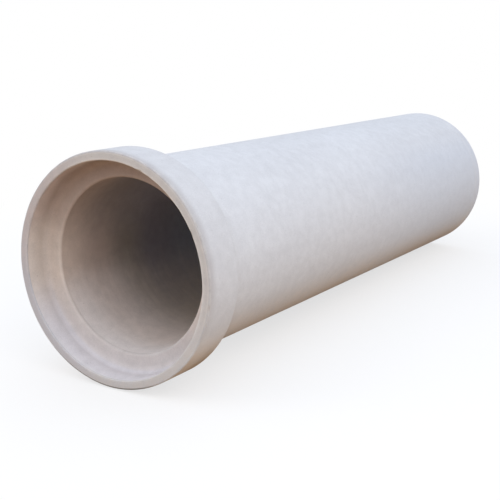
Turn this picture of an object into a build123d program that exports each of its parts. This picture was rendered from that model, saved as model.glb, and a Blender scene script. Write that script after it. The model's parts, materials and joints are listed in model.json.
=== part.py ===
from build123d import *
import math
import os

# Socket-and-spigot concrete sewer pipe, cast as one piece. Lengths are millimetres.

# Waterway and barrel
BORE_DIAMETER = 600.0
BARREL_WALL = 50.0
LAYING_LENGTH = 2500.0      # length that each pipe adds to a laid run

# Socket: takes the next pipe's spigot, with a gap all round for the joint ring
SOCKET_DEPTH = 95.0
JOINT_GAP = 15.0
BELL_WALL = 33.0

# Bell outside: a straight collar, then a cone down to the barrel
BELL_LENGTH = 160.0         # mouth face to the corner where the cone starts
BELL_CONE_ANGLE = 45.0      # degrees, cone surface to the pipe's axis

# Corners, as the mould and its end rings leave them
MOUTH_CHAMFER = 5.0
SOCKET_FILLET = 25.0
SHOULDER_ROUNDING = 10.0
BELL_EDGE_ROUNDING = 18.0
BELL_FOOT_FILLET = 40.0
SPIGOT_CHAMFER = 8.0
BORE_END_CHAMFER = 4.0

bore_radius = BORE_DIAMETER / 2
barrel_radius = bore_radius + BARREL_WALL
socket_radius = barrel_radius + JOINT_GAP
bell_radius = socket_radius + BELL_WALL
pipe_length = SOCKET_DEPTH + LAYING_LENGTH
bell_cone_length = (bell_radius - barrel_radius) / math.tan(math.radians(BELL_CONE_ANGLE))


def wall_section():
    """Half of the pipe's lengthwise section: X from the mouth face, Y from the axis."""
    sharp = 0
    corners = [
        ((MOUTH_CHAMFER, socket_radius), sharp),
        ((0, socket_radius + MOUTH_CHAMFER), sharp),
        ((0, bell_radius - MOUTH_CHAMFER), sharp),
        ((MOUTH_CHAMFER, bell_radius), sharp),
        ((BELL_LENGTH, bell_radius), BELL_EDGE_ROUNDING),
        ((BELL_LENGTH + bell_cone_length, barrel_radius), BELL_FOOT_FILLET),
        ((pipe_length - SPIGOT_CHAMFER, barrel_radius), sharp),
        ((pipe_length, barrel_radius - SPIGOT_CHAMFER), sharp),
        ((pipe_length, bore_radius + BORE_END_CHAMFER), sharp),
        ((pipe_length - BORE_END_CHAMFER, bore_radius), sharp),
        ((SOCKET_DEPTH, bore_radius), SHOULDER_ROUNDING),
        ((SOCKET_DEPTH, socket_radius), SOCKET_FILLET),
    ]
    points = [point for point, radius in corners]
    radii = [radius for point, radius in corners]
    outline = FilletPolyline(*points, radius=radii, close=True)
    return make_face(outline)


def pipe_along_x():
    """The pipe turned about its own axis, with the centre of its mouth face at the origin."""
    return revolve(wall_section(), axis=Axis.X)


def resting_tilt_and_height():
    """Slope of the axis, in radians, and height of the mouth's centre, on a level floor.

    The pipe lies on the rounded rear edge of its bell and on the rim where its spigot's chamfer
    starts, so the floor is the line through that rim that touches the edge's arc from below.
    """
    arc_setback = BELL_EDGE_ROUNDING * math.tan(math.radians(BELL_CONE_ANGLE) / 2)
    arc_x = BELL_LENGTH - arc_setback
    arc_drop = bell_radius - BELL_EDGE_ROUNDING
    run = pipe_length - SPIGOT_CHAMFER - arc_x
    rise = arc_drop - barrel_radius
    slope = math.atan2(rise, run) + math.asin(BELL_EDGE_ROUNDING / math.hypot(run, rise))
    height = arc_x * math.sin(slope) + arc_drop * math.cos(slope) + BELL_EDGE_ROUNDING
    return slope, height


def lying_pipe():
    """The pipe as it lies: mouth towards -X, floor at Z 0, box centred on the origin."""
    slope, height = resting_tilt_and_height()
    tilted = Rot(Y=math.degrees(slope)) * pipe_along_x()
    middle = tilted.bounding_box().center()
    return Pos(-middle.X, 0, height) * tilted


os.makedirs("parts", exist_ok=True)
export_step(lying_pipe(), "parts/concrete_pipe.step")
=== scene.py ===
import json
import math
import random
from collections import namedtuple
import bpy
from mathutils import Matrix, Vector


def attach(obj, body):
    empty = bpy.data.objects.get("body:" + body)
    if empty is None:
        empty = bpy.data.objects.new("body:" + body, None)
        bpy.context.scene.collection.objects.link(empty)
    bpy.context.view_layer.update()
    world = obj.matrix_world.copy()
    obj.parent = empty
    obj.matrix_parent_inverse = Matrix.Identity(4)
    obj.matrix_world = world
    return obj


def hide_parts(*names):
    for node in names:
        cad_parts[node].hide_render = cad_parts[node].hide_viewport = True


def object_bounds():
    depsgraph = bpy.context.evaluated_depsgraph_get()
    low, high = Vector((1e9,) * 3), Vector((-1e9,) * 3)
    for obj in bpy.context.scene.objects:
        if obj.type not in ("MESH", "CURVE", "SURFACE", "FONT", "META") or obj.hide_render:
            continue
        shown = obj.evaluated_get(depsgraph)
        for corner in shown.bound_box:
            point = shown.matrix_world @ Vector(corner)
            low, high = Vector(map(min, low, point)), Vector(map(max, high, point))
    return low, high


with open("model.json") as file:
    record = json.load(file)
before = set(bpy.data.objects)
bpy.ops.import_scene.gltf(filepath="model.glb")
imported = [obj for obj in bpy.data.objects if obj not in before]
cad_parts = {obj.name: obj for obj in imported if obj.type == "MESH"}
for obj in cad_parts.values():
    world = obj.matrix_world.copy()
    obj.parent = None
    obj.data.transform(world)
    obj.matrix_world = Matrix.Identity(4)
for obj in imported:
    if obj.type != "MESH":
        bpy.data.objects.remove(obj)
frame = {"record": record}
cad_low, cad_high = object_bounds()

from types import SimpleNamespace

import bpy
import numpy as np
from mathutils import Vector, noise


# Concrete pipe: one casting of dense sandy concrete, packed on end in a steel mould. The bell at
# its mouth takes the plain spigot end of the next pipe. Iron rings at the mould's two ends shape
# the socket and the end faces, and handling has worn and nicked the arrises that they left.
MILLIMETRE = 0.001
SOCKET_DEPTH = 0.095
SOCKET_FILLET = 0.025
SHOULDER_ROUNDING = 0.010
MOUTH_INNER_ARRIS = 0.005
MOUTH_OUTER_ARRIS = 0.006
BELL_LENGTH = 0.160
BELL_EDGE_ROUNDING = 0.018
BELL_FOOT_FILLET = 0.040
SPIGOT_ARRIS = 0.008
BORE_END_ARRIS = 0.004

mounts = {mount["name"]: mount for mount in frame["record"]["mounts"]}
bore_radius = mounts["waterway"]["dims"]["r_mm"] * MILLIMETRE
barrel_radius = mounts["spigot"]["dims"]["r_mm"] * MILLIMETRE
socket_radius = mounts["socket"]["dims"]["r_mm"] * MILLIMETRE
bell_radius = cad_high.y
cone_length = bell_radius - barrel_radius      # the cone behind the bell falls at 45 degrees
along = Vector(mounts["spigot"]["axis"])
mouth_point = Vector(mounts["mouth_face"]["pos_m"])     # on the ring, level with the axis
mouth_centre = Vector((mouth_point.x, 0, mouth_point.z))
pipe_length = (Vector(mounts["spigot_face"]["pos_m"]) - mouth_point).dot(along)
lying_slope = math.asin(-along.z)

# The corners of the wall's section, in the order of a walk out over the mouth's face, along the
# outside and back through the bore. Each has its rounding, and names the run that leads on from
# it. The steps are those of the mesh, round the rounding and along the run.
Corner = namedtuple("Corner", "name from_mouth radius rounding arc_steps run run_steps")
cone_end = BELL_LENGTH + cone_length
CORNERS = (
    Corner("mouth inner arris", 0, socket_radius, MOUTH_INNER_ARRIS, 5, "mouth face", 8),
    Corner("mouth outer arris", 0, bell_radius, MOUTH_OUTER_ARRIS, 8, "collar", 18),
    Corner("bell edge", BELL_LENGTH, bell_radius, BELL_EDGE_ROUNDING, 8, "cone", 4),
    Corner("bell foot", cone_end, barrel_radius, BELL_FOOT_FILLET, 8, "barrel", 70),
    Corner("spigot outer arris", pipe_length, barrel_radius, SPIGOT_ARRIS, 6, "spigot face", 8),
    Corner("spigot inner arris", pipe_length, bore_radius, BORE_END_ARRIS, 5, "bore", 68),
    Corner("shoulder", SOCKET_DEPTH, bore_radius, SHOULDER_ROUNDING, 6, "shoulder face", 5),
    Corner("socket back", SOCKET_DEPTH, socket_radius, SOCKET_FILLET, 8, "socket wall", 10),
)
STEPS_AROUND = 400


def rounded(before, corner, after):
    """Points of the arc that rounds a corner, tangent to the runs from and to its neighbours."""
    tip = np.array((corner.from_mouth, corner.radius))
    back = np.array((before.from_mouth, before.radius)) - tip
    onward = np.array((after.from_mouth, after.radius)) - tip
    back /= np.linalg.norm(back)
    onward /= np.linalg.norm(onward)
    half_angle = math.acos(back @ onward) / 2
    middle = (back + onward) / np.linalg.norm(back + onward)
    centre = tip + middle * corner.rounding / math.sin(half_angle)
    setback = corner.rounding / math.tan(half_angle)
    first = tip + back * setback - centre
    last = tip + onward * setback - centre
    sweep = math.pi - 2 * half_angle
    shares = np.linspace(0, 1, corner.arc_steps + 1)[:, None]
    arc = np.sin((1 - shares) * sweep) * first + np.sin(shares * sweep) * last
    return centre + arc / math.sin(sweep)


def walk_section():
    """Points of the wall's section as a closed walk, and the name of the corner or run of each.

    The points of a run stand closer together towards its ends, where the wear of the arrises
    needs them.
    """
    neighbours = zip(CORNERS[-1:] + CORNERS[:-1], CORNERS, CORNERS[1:] + CORNERS[:1])
    arcs = [rounded(*three) for three in neighbours]
    points = []
    names = []
    for corner, arc, next_arc in zip(CORNERS, arcs, arcs[1:] + arcs[:1]):
        shares = (1 - np.cos(np.pi * np.arange(1, corner.run_steps) / corner.run_steps)) / 2
        run = arc[-1] + shares[:, None] * (next_arc[0] - arc[-1])
        points += [*arc, *run]
        names += [corner.name] * len(arc) + [corner.run] * len(run)
    return np.array(points), names


section, row_names = walk_section()
ahead = np.roll(section, -1, axis=0) - np.roll(section, 1, axis=0)
ahead /= np.linalg.norm(ahead, axis=1)[:, None]
section_normals = np.stack([-ahead[:, 1], ahead[:, 0]], axis=1)
stride = np.linalg.norm(np.roll(section, -1, axis=0) - section, axis=1)
walked = np.concatenate([[0], np.cumsum(stride)[:-1]])
walk_length = stride.sum()

# The skin before wear: every point of the section, turned round the pipe's axis
skin = np.repeat(section, STEPS_AROUND, axis=0)
skin_normals = np.repeat(section_normals, STEPS_AROUND, axis=0)
skin_walked = np.repeat(walked, STEPS_AROUND)
skin_turn = np.tile(np.arange(STEPS_AROUND) * 2 * np.pi / STEPS_AROUND, len(section))
skin_from_mouth, skin_radius = skin.T
skin_beside_axis = skin_radius * np.cos(skin_turn)
skin_above_axis = skin_radius * np.sin(skin_turn)
skin_places = np.stack([skin_from_mouth, skin_beside_axis, skin_above_axis], axis=1)


def on_rows(*names):
    """1 at each point of the skin that lies on a corner or run of one of these names, else 0."""
    return np.repeat([name in names for name in row_names], STEPS_AROUND).astype(float)


def soft_noise(per_metre, shift=0.0):
    """Smooth noise from 0 to 1 at every point of the skin, with so many lumps in a metre."""
    start = Vector((shift, -shift, shift))
    lumps = [noise.noise(Vector(place) * per_metre + start) for place in skin_places]
    return 0.5 + 0.5 * np.array(lumps)


def between(ends, share):
    """The value at that share of the way from the first end to the second."""
    return ends[0] + share * (ends[1] - ends[0])


# Wear: the steel mould's gentle waves, the ring that its spigot end left, rubbed arrises, nicks.
MOULD_WAVE_DEPTH = 0.0010
MOULD_WAVES_PER_METRE = 3.2
SPIGOT_RING_FROM_END = 0.060
SPIGOT_RING_WIDTH = 0.006
SPIGOT_RING_DEPTH = 0.0012
WORN_ARRISES = ("mouth inner arris", "mouth outer arris", "spigot outer arris", "spigot inner arris")
RUB_DEPTH = 0.0009
RUB_REACH = 0.006
RUBS_PER_METRE = 34
RUBS_SHIFT = 5.0
NICK_SEED = 7
NICKS_PER_ARRIS = 14
NICK_SMALLNESS = 2.5            # the higher, the fewer large nicks
NICK_HALF_LENGTHS = (0.005, 0.018)
NICK_REACHES = (0.002, 0.006)
NICK_DEPTHS = (0.0006, 0.0022)
NICK_GRAINS_PER_METRE = 110
NICK_RAGGEDNESS = 0.5
NICK_FULLNESS = 1.25
NICK_STEEPNESS = 2.2

ring_distance = (skin_from_mouth - (pipe_length - SPIGOT_RING_FROM_END)) / SPIGOT_RING_WIDTH
spigot_ring = on_rows("barrel") * np.exp(-ring_distance ** 2)

arris_wear = np.zeros(len(skin))
nicks = np.zeros(len(skin))
moves = np.zeros_like(skin)
ragged_edge = NICK_RAGGEDNESS * soft_noise(NICK_GRAINS_PER_METRE)
dice = random.Random(NICK_SEED)
for arris in WORN_ARRISES:
    arris_rows = [index for index, name in enumerate(row_names) if name == arris]
    middle_row = arris_rows[len(arris_rows) // 2]
    across = skin_walked - walked[middle_row]
    across = (across + walk_length / 2) % walk_length - walk_length / 2
    arris_wear += np.exp(-(across / RUB_REACH) ** 2)
    for _ in range(NICKS_PER_ARRIS):
        nick_turn = dice.uniform(0, 2 * math.pi)
        nick_size = dice.random() ** NICK_SMALLNESS
        half_length = between(NICK_HALF_LENGTHS, nick_size)
        reach = between(NICK_REACHES, nick_size)
        depth = between(NICK_DEPTHS, nick_size)
        around = (skin_turn - nick_turn + math.pi) % (2 * math.pi) - math.pi
        far_off = (around * skin_radius / half_length) ** 2 + (across / reach) ** 2
        bite = np.clip(NICK_STEEPNESS * (NICK_FULLNESS - far_off - ragged_edge), 0, 1)
        nicks = np.maximum(nicks, bite)
        moves -= depth * bite[:, None] * section_normals[middle_row]

waves = MOULD_WAVE_DEPTH * soft_noise(MOULD_WAVES_PER_METRE)
rubs = RUB_DEPTH * arris_wear * soft_noise(RUBS_PER_METRE, RUBS_SHIFT)
sunk = waves + rubs + SPIGOT_RING_DEPTH * spigot_ring
moves -= sunk[:, None] * skin_normals

# The worn skin as it lies, tilted along the pipe's axis
worn_from_mouth, worn_radius = (skin + moves).T
worn_above_axis = worn_radius * np.sin(skin_turn)
lying_x = mouth_centre.x + worn_from_mouth * along.x - worn_above_axis * along.z
lying_y = worn_radius * np.cos(skin_turn)
lying_z = mouth_centre.z + worn_from_mouth * along.z + worn_above_axis * along.x
lying_skin = np.stack([lying_x, lying_y, lying_z], axis=1)

row = np.arange(len(section))[:, None] * STEPS_AROUND
next_row = np.roll(row, -1, axis=0)
step = np.arange(STEPS_AROUND)[None, :]
next_step = np.roll(step, -1, axis=1)
quads = np.stack([row + step, row + next_step, next_row + next_step, next_row + step], axis=2)


def add_mesh(name, points, faces):
    """A new object in the scene, with a mesh of these points and faces."""
    mesh = bpy.data.meshes.new(name)
    mesh.from_pydata(points, [], faces)
    piece = bpy.data.objects.new(name, mesh)
    bpy.context.scene.collection.objects.link(piece)
    return piece


pipe = add_mesh("concrete_pipe_skin", lying_skin.tolist(), quads.reshape(-1, 4).tolist())
pipe.data.shade_smooth()

# What the finish has to know of each point
skin_marks = {
    "inside": on_rows("bore", "shoulder", "shoulder face", "socket back", "socket wall"),
    "outside": on_rows("collar", "bell edge", "cone", "bell foot", "barrel"),
    "end_face": on_rows("mouth inner arris", "mouth face", "spigot face"),
    "outer_arris": on_rows("mouth outer arris", "spigot outer arris"),
    "worn_arris": np.clip(arris_wear, 0, 1),
    "nick": nicks,
    "spigot_ring": spigot_ring,
}
for mark, values in skin_marks.items():
    layer = pipe.data.attributes.new(mark, "FLOAT", "POINT")
    layer.data.foreach_set("value", values)


class Shade:
    """A shader value. Sums on it add Math nodes, and node() adds a node of any other kind."""

    def __init__(self, tree, socket=None):
        self.tree = tree
        self.socket = socket

    def __getitem__(self, output):
        return Shade(self.tree, self.socket.node.outputs[output])

    def node(self, kind, settings, sockets):
        """Adds a node, sets its settings, then its sockets, and gives its first output."""
        made = self.tree.nodes.new("ShaderNode" + kind)
        for name, value in settings.items():
            setattr(made, name, value)
        for name, value in sockets.items():
            if isinstance(value, Shade):
                self.tree.links.new(value.socket, made.inputs[name])
            else:
                made.inputs[name].default_value = value
        return Shade(self.tree, made.outputs[0] if made.outputs else None)

    def math(self, operation, first, second):
        return self.node("Math", {"operation": operation}, {0: first, 1: second})

    def __add__(self, other):
        return self.math("ADD", self, other)

    def __radd__(self, other):
        return self.math("ADD", other, self)

    def __sub__(self, other):
        return self.math("SUBTRACT", self, other)

    def __rsub__(self, other):
        return self.math("SUBTRACT", other, self)

    def __mul__(self, other):
        return self.math("MULTIPLY", self, other)

    def __rmul__(self, other):
        return self.math("MULTIPLY", other, self)

    def step(self, low, high):
        """Rises smoothly from 0 at low to 1 at high, or falls where high is the lower."""
        sockets = {"Value": self, "From Min": low, "From Max": high}
        return self.node("MapRange", {"interpolation_type": "SMOOTHSTEP"}, sockets)

    def tint(self, first, second):
        """The first colour, giving way to the second as this value goes from 0 to 1."""
        first, second = (tone if isinstance(tone, Shade) else (*tone, 1) for tone in (first, second))
        return self.node("Mix", {"data_type": "RGBA"}, {0: self, 6: first, 7: second})[2]


def empty_material(name):
    """A new material with no nodes in it."""
    material = bpy.data.materials.new(name)
    material.use_nodes = True
    material.node_tree.nodes.clear()
    return material


def place_on_pipe(mix):
    """Where a point lies: its place on the pipe in metres, the way it faces, and its height.

    The place runs in from the mouth along the axis. Sideways and upwards are the shares of the
    way out from the axis, so upwards is 1 along the crown and -1 along the underside.
    """
    lying_place = mix.node("TexCoord", {}, {})["Object"]
    turned = {"Vector": lying_place, "Location": mouth_centre, "Rotation": (0, lying_slope, 0)}
    place = mix.node("Mapping", {"vector_type": "TEXTURE"}, turned)
    parts = mix.node("SeparateXYZ", {}, {"Vector": place})
    off_axis = mix.node("VectorMath", {"operation": "MULTIPLY"}, {0: place, 1: (0, 1, 1)})
    way_out = mix.node("VectorMath", {"operation": "NORMALIZE"}, {0: off_axis})
    way_out = mix.node("SeparateXYZ", {}, {"Vector": way_out})
    return SimpleNamespace(
        place=place,
        from_mouth=parts["X"],
        beside_axis=parts["Y"],
        above_axis=parts["Z"],
        sideways=way_out["Y"],
        upwards=way_out["Z"],
        height=mix.node("SeparateXYZ", {}, {"Vector": lying_place})["Z"],
    )


NOISE_MIDDLE = 0.5              # the mean value of a noise


def concrete_grain(mix, where):
    """The concrete's unevenness, from broad clouds down to sand, and its air holes and pits.

    The ragged level is the height above the axis, in metres, with its edges broken up.
    """
    even = (1, 1, 1)
    drawn_along = (0.25, 1, 1)
    wound_round = (1, 0.06, 0.06)
    ring_raggedness = 0.05
    cloud_raggedness = 0.16

    def lumps(stretch, per_metre, detail, roughness):
        """Noise from 0 to 1, round NOISE_MIDDLE, with so many lumps in a metre before the stretch."""
        stretched = mix.node("VectorMath", {"operation": "MULTIPLY"}, {0: where.place, 1: stretch})
        sockets = {"Vector": stretched, "Scale": per_metre, "Detail": detail, "Roughness": roughness}
        return mix.node("TexNoise", {}, sockets)

    def bubbles(per_metre, edge, chosen):
        """Round hollows with soft edges, in the few cells whose random value is in the chosen range."""
        cells = mix.node("TexVoronoi", {}, {"Vector": where.place, "Scale": per_metre})
        drawn = mix.node("SeparateColor", {}, {"Color": cells["Color"]})["Red"]
        return cells["Distance"].step(*edge) * drawn.step(*chosen)

    clouds = lumps(drawn_along, per_metre=5, detail=4, roughness=0.55)
    blotches = lumps(even, per_metre=26, detail=4, roughness=0.6)
    rings = lumps(wound_round, per_metre=60, detail=3, roughness=0.6)
    holes = bubbles(per_metre=75, edge=(0.12, 0.07), chosen=(0.84, 0.92))
    fine_holes = bubbles(per_metre=190, edge=(0.20, 0.10), chosen=(0.80, 0.95))
    ragged = ring_raggedness * (rings - NOISE_MIDDLE) + cloud_raggedness * (clouds - NOISE_MIDDLE)
    return SimpleNamespace(
        clouds=clouds,
        blotches=blotches,
        rings=rings,
        sand=lumps(even, per_metre=330, detail=4, roughness=0.65),
        holes=holes,
        pits=fine_holes * blotches.step(0.42, 0.62),
        ragged_level=where.above_axis + ragged,
    )


def outside_skin(where, grain):
    """Clouded cement skin, cooler on the flanks towards the spigot, and duller on the bell's rims,
    partly with painted shade.
    """
    skin_grey = (0.622, 0.628, 0.645)
    skin_pale = (0.706, 0.717, 0.736)
    skin_cool = (0.590, 0.630, 0.695)
    rim_dull_and_shade = (0.440, 0.415, 0.410)
    bloom = 0.10 + 0.45 * grain.clouds.step(0.30, 0.70) + 0.35 * grain.blotches.step(0.25, 0.75)
    near_spigot = where.from_mouth.step(0.9, 2.2)
    on_flank = where.upwards.step(0.85, 0.45)
    mouth_rim = where.from_mouth.step(0.045, 0.0)
    bell_and_cone = where.from_mouth.step(0.30, BELL_LENGTH)
    off_the_ground = where.upwards.step(-0.70, 0.10)
    colour = bloom.tint(skin_grey, skin_pale)
    colour = (0.6 * near_spigot * on_flank).tint(colour, skin_cool)
    # The rims are dulled partly towards the face's sandy tone and partly with painted shade along the
    # outer edge
    return (off_the_ground * (0.55 * mouth_rim + 0.15 * bell_and_cone)).tint(colour, rim_dull_and_shade)


def inside_skin_and_light(where, grain):
    """Browner concrete with painted light and shade: pale on the bore's floor, where light falls in at
    the mouth, and dark along its sides and crown.

    Each tone stands at its distance in metres from the mouth, and blends into the next.
    """
    # Painted light and shade: the floor's tones are lit pale near the mouth, and the sides' and crown's
    # darken deep inside
    floor_lit_tones = (
        (0.020, (0.805, 0.785, 0.815)),
        (0.085, (0.645, 0.620, 0.640)),
        (0.095, (0.627, 0.582, 0.563)),
        (0.099, (0.600, 0.557, 0.540)),
        (0.112, (0.845, 0.800, 0.780)),
        (0.300, (0.845, 0.755, 0.695)),
        (0.650, (0.760, 0.650, 0.530)),
        (1.900, (0.700, 0.620, 0.530)),
        (2.520, (0.680, 0.645, 0.610)),
    )
    side_shaded_tones = (
        (0.010, (0.830, 0.755, 0.690)),
        (0.085, (0.665, 0.590, 0.530)),
        (0.098, (0.720, 0.630, 0.557)),
        (0.107, (0.700, 0.585, 0.505)),
        (0.300, (0.515, 0.415, 0.360)),
        (0.450, (0.345, 0.300, 0.260)),
        (0.620, (0.280, 0.260, 0.285)),
        (0.900, (0.375, 0.395, 0.450)),
        (1.900, (0.420, 0.420, 0.440)),
        (2.520, (0.600, 0.575, 0.560)),
    )
    crown_shaded_tones = (
        (0.010, (0.630, 0.525, 0.480)),
        (0.085, (0.425, 0.335, 0.295)),
        (0.098, (0.465, 0.370, 0.320)),
        (0.107, (0.390, 0.305, 0.265)),
        (0.300, (0.315, 0.280, 0.270)),
        (0.560, (0.395, 0.375, 0.415)),
        (1.900, (0.420, 0.410, 0.430)),
        (2.520, (0.560, 0.535, 0.525)),
    )

    def going_in(tones):
        tone = tones[0][1]
        for (start, _), (end, next_tone) in zip(tones, tones[1:]):
            tone = where.from_mouth.step(start, end).tint(tone, next_tone)
        return tone

    past_socket = where.from_mouth.step(0.12, 0.35)
    deep_in = where.from_mouth.step(0.35, 0.60)
    on_crown = (grain.ragged_level + 0.04 * past_socket).step(0.0, 0.30)
    on_floor = (grain.ragged_level + 0.04 * deep_in).step(-0.02, -0.29)
    colour = on_crown.tint(going_in(side_shaded_tones), going_in(crown_shaded_tones))
    return on_floor.tint(colour, going_in(floor_lit_tones))


def face_skin(where, grain):
    """Trowelled end faces: sandy above and paler below, both duller towards the +Y side."""
    high_sand = (0.605, 0.583, 0.560)
    high_brown = (0.570, 0.510, 0.495)
    low_pale = (0.630, 0.605, 0.585)
    low_dull = (0.550, 0.540, 0.570)
    weathered = (where.beside_axis + 0.2 * grain.clouds).step(0.10, 0.38)
    high = (grain.ragged_level + 0.25 * grain.blotches).step(0.0, 0.28)
    return high.tint(weathered.tint(low_pale, low_dull), weathered.tint(high_sand, high_brown))


def wear_soil_and_shade(where, grain, marks):
    """What lies over the cast skin, from the first layer to the last, some of it painted light and
    shade: its cover and its colour.
    """
    rubbed_pale = (0.760, 0.735, 0.710)
    broken_grey = (0.560, 0.525, 0.490)
    dust_and_warm_bounce = (0.680, 0.530, 0.380)
    soil = (0.440, 0.330, 0.225)
    underside_shade = (0.220, 0.200, 0.180)
    hole_shade = (0.250, 0.225, 0.200)

    # Arrises are rubbed pale in spots. On the ends' upper -Y side the pale edge is partly rubbing and
    # partly a painted highlight
    handled_and_highlit = marks.end_face * (where.upwards - where.sideways).step(0.10, 0.80)
    rubbed_and_highlit = marks.worn_arris * (0.25 * grain.blotches.step(0.40, 0.60) + 0.9 * handled_and_highlit)

    # Turned-down surfaces are tinted warm in patches, most of all by the mouth: partly dust, partly
    # painted warm bounce light from below
    patches = (0.6 * grain.blotches + 0.6 * grain.clouds).step(0.35, 0.75)
    turned_down = where.upwards.step(-0.30, -0.80)
    by_the_mouth = where.from_mouth.step(0.12, 0.04)
    dust_and_bounce_cover = marks.outside * turned_down * (0.26 + 0.22 * patches + 0.22 * by_the_mouth)

    # Soil is splashed up from below, and pressed on where the back of the bell lies in it
    bell_back = where.from_mouth.step(0.04, 0.15) * where.from_mouth.step(0.32, 0.22)
    splashed = where.height.step(0.20, 0.0) + 0.4 * bell_back * where.height.step(0.34, 0.10)
    pressed_on = bell_back * where.upwards.step(-0.45, -0.85)
    soiled = marks.outside * (0.75 * splashed * patches + 0.65 * pressed_on)

    # The underside and the lowest stretch of the outer arrises are darkened: painted shade, and on the
    # arrises a little soil
    underside = marks.outside * where.upwards.step(-0.88, -0.97)
    low_arris = marks.outer_arris * (where.upwards - 0.12 * where.sideways).step(-0.80, -0.95)
    return (
        (rubbed_and_highlit, rubbed_pale),
        (0.35 * marks.spigot_ring, rubbed_pale),
        (0.50 * marks.nick, broken_grey),
        (dust_and_bounce_cover, dust_and_warm_bounce),
        (soiled, soil),
        (0.45 * underside + 0.90 * low_arris, underside_shade),
        # Painted shade darkens the air holes and pits
        (0.60 * grain.holes + 0.35 * grain.pits, hole_shade),
    )


def speckled(mix, colour, grain, marks):
    """The colour with its sand grains and its mottling, which is stronger inside."""
    mean_shade = 0.995
    sand_strength = 0.40
    mottling_outside = 0.11
    mottling_inside = 0.32
    mottling = mottling_outside + (mottling_inside - mottling_outside) * marks.inside
    sanded = sand_strength * (grain.sand - NOISE_MIDDLE)
    shade = mean_shade + sanded + mottling * (grain.blotches - NOISE_MIDDLE)
    shade = mix.node("CombineColor", {}, {"Red": shade, "Green": shade, "Blue": shade})
    multiplied = {"data_type": "RGBA", "blend_type": "MULTIPLY"}
    return mix.node("Mix", multiplied, {0: 1.0, 6: colour, 7: shade})[2]


def fine_relief(mix, grain, marks):
    """The skin's relief in millimetres: sand, blotches and the bore's rings, less holes and pits."""
    sand_height = 0.35
    blotch_height = 0.50
    ring_height = 0.25
    hole_depth = 1.2
    pit_depth = 0.5
    raised = sand_height * grain.sand + blotch_height * grain.blotches
    ringed = ring_height * marks.inside * grain.rings
    hollow = hole_depth * grain.holes + pit_depth * grain.pits
    relief = {"Strength": 1.0, "Distance": MILLIMETRE, "Height": raised + ringed - hollow}
    return mix.node("Bump", {}, relief)


def concrete_finish():
    """Dull sandy concrete: its cast skin with painted light and shade, then wear, soil and painted
    shade over it, grain and fine relief.
    """
    dull_shine = 0.25
    least_roughness = 0.86
    roughness_spread = 0.08
    material = empty_material("concrete")
    mix = Shade(material.node_tree)
    where = place_on_pipe(mix)
    grain = concrete_grain(mix, where)
    marks = {name: mix.node("Attribute", {"attribute_name": name}, {})["Fac"] for name in skin_marks}
    marks = SimpleNamespace(**marks)

    colour = marks.inside.tint(outside_skin(where, grain), inside_skin_and_light(where, grain))
    trowelled = marks.end_face * (0.65 + 0.35 * grain.blotches.step(0.30, 0.60))
    colour = trowelled.tint(colour, face_skin(where, grain))
    for cover, tone in wear_soil_and_shade(where, grain, marks):
        colour = cover.tint(colour, tone)
    surface = {
        "Base Color": speckled(mix, colour, grain, marks),
        "Roughness": least_roughness + roughness_spread * grain.blotches,
        "Normal": fine_relief(mix, grain, marks),
        "Specular IOR Level": dull_shine,
    }
    concrete = mix.node("BsdfPrincipled", {}, surface)
    mix.node("OutputMaterial", {}, {"Surface": concrete})
    return material


pipe.data.materials.append(concrete_finish())
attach(pipe, "root")
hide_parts("concrete_pipe")


# Floor: one flat matt sheet, plain and pale, that the pipe lies on. The lens sees it white with
# the pipe's soft shadow on it, while the light that it throws back up at the pipe is warm.
FLOOR_HALF_WIDTH = 60.0
SHADOW_SHARE = 0.30             # of the white that the pipe's shadow can take away
STEADY_GLOW = 0.68              # what the shadow leaves
SHADOW_FADES = (1.2, 2.8)       # metres from the middle of the pipe
WARM_BOUNCE = (0.39, 0.245, 0.120, 1)
WHITE = (1, 1, 1, 1)


def seen_by_lens(mix):
    """1 for the rays that show a thing to the lens, straight or by gloss or glass, else 0."""
    rays = mix.node("LightPath", {}, {})
    seen = mix.math("MAXIMUM", rays["Is Camera Ray"], rays["Is Glossy Ray"])
    return mix.math("MAXIMUM", seen, rays["Is Transmission Ray"])


def floor_finish():
    """White to the lens, with a soft shadow, and warm to the light that goes on to the pipe."""
    material = empty_material("pale_floor")
    mix = Shade(material.node_tree)
    shadow_taker = mix.node("BsdfDiffuse", {}, {"Color": (SHADOW_SHARE,) * 3 + (1,)})
    glow = mix.node("Emission", {}, {"Color": WHITE, "Strength": STEADY_GLOW})
    shaded = mix.node("AddShader", {}, {0: shadow_taker, 1: glow})
    plain = mix.node("Emission", {}, {"Color": WHITE, "Strength": 1.0})
    place = mix.node("TexCoord", {}, {})["Object"]
    away = mix.node("VectorMath", {"operation": "LENGTH"}, {0: place})["Value"]
    white = mix.node("MixShader", {}, {0: away.step(*SHADOW_FADES), 1: shaded, 2: plain})
    warm = mix.node("BsdfDiffuse", {}, {"Color": WARM_BOUNCE})
    floor_surface = mix.node("MixShader", {}, {0: seen_by_lens(mix), 1: warm, 2: white})
    mix.node("OutputMaterial", {}, {"Surface": floor_surface})
    return material


floor_sides = ((-1, -1), (1, -1), (1, 1), (-1, 1))
floor_corners = [(x * FLOOR_HALF_WIDTH, y * FLOOR_HALF_WIDTH, 0) for x, y in floor_sides]
floor = add_mesh("pale_floor", floor_corners, [(0, 1, 2, 3)])
floor.data.materials.append(floor_finish())


# Light: an even pale sky all round, which the lens sees white, two large soft panels high in front
# of the mouth, one on each side of the pipe's axis, and one low beside the flank that the lens sees.
SKY_COLOUR = (0.880, 0.944, 1.069, 1)
SKY_STRENGTH = 1.0
LIGHT_AIM = Vector((-0.4, 0, 0.4))

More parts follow.
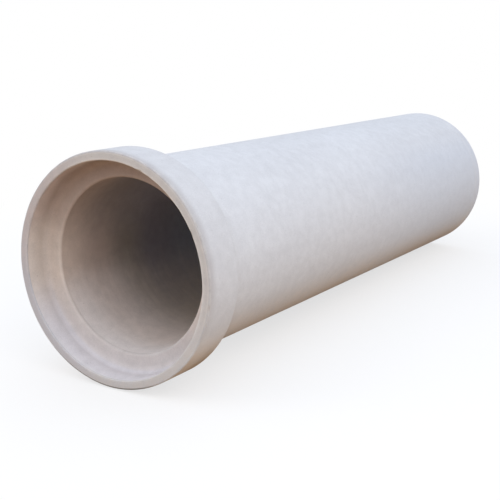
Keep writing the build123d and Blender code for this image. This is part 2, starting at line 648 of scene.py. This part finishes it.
world = bpy.data.worlds.new("pale_sky")
bpy.context.scene.world = world
world.use_nodes = True
world.node_tree.nodes.clear()
sky = Shade(world.node_tree)
sky_light = sky.node("Background", {}, {"Color": SKY_COLOUR, "Strength": SKY_STRENGTH})
white_backdrop = sky.node("Background", {}, {"Color": WHITE, "Strength": 1.0})
sky_surface = sky.node("MixShader", {}, {0: seen_by_lens(sky), 1: sky_light, 2: white_backdrop})
sky.node("OutputWorld", {}, {"Surface": sky_surface})


def hang_panel(name, place, width, colour, watts):
    """A round soft panel of that width, aimed at the pipe."""
    light = bpy.data.lights.new(name, "AREA")
    light.shape = "DISK"
    light.size = width
    light.energy = watts
    light.color = colour
    panel = bpy.data.objects.new(name, light)
    panel.location = place
    panel.rotation_euler = (LIGHT_AIM - Vector(place)).to_track_quat("-Z", "Y").to_euler()
    bpy.context.scene.collection.objects.link(panel)


hang_panel("near_panel", place=(-3.8, -4.4, 4.6), width=4.0, colour=(1.0, 0.92, 0.82), watts=66.0)
hang_panel("far_panel", place=(-5.0, 3.0, 4.5), width=4.0, colour=(1.0, 0.88, 0.74), watts=61.0)
hang_panel("low_panel", place=(-0.8, -6.0, 1.3), width=2.5, colour=(0.93, 0.95, 1.0), watts=56.0)
bpy.context.scene.view_settings.view_transform = "Standard"


# Camera: a short telephoto lens, about 1.2 m above the floor, in front of the mouth and to its -Y
# side. It looks a little down and along the pipe, so that the mouth and one flank are in view.
CAMERA_PLACE = (-3.6555, -2.0128, 1.2203)
CAMERA_DOWN = 13.630            # degrees below the level
CAMERA_HEADING = -58.025        # degrees round from +Y
CAMERA_LENS = 70.238            # millimetres, as is the sensor
CAMERA_SENSOR = 36.0

lens = bpy.data.cameras.new("camera")
lens.lens = CAMERA_LENS
lens.sensor_width = CAMERA_SENSOR
camera = bpy.data.objects.new("camera", lens)
camera.location = CAMERA_PLACE
camera.rotation_euler = (math.radians(90 - CAMERA_DOWN), 0, math.radians(CAMERA_HEADING))
bpy.context.scene.collection.objects.link(camera)
bpy.context.scene.camera = camera
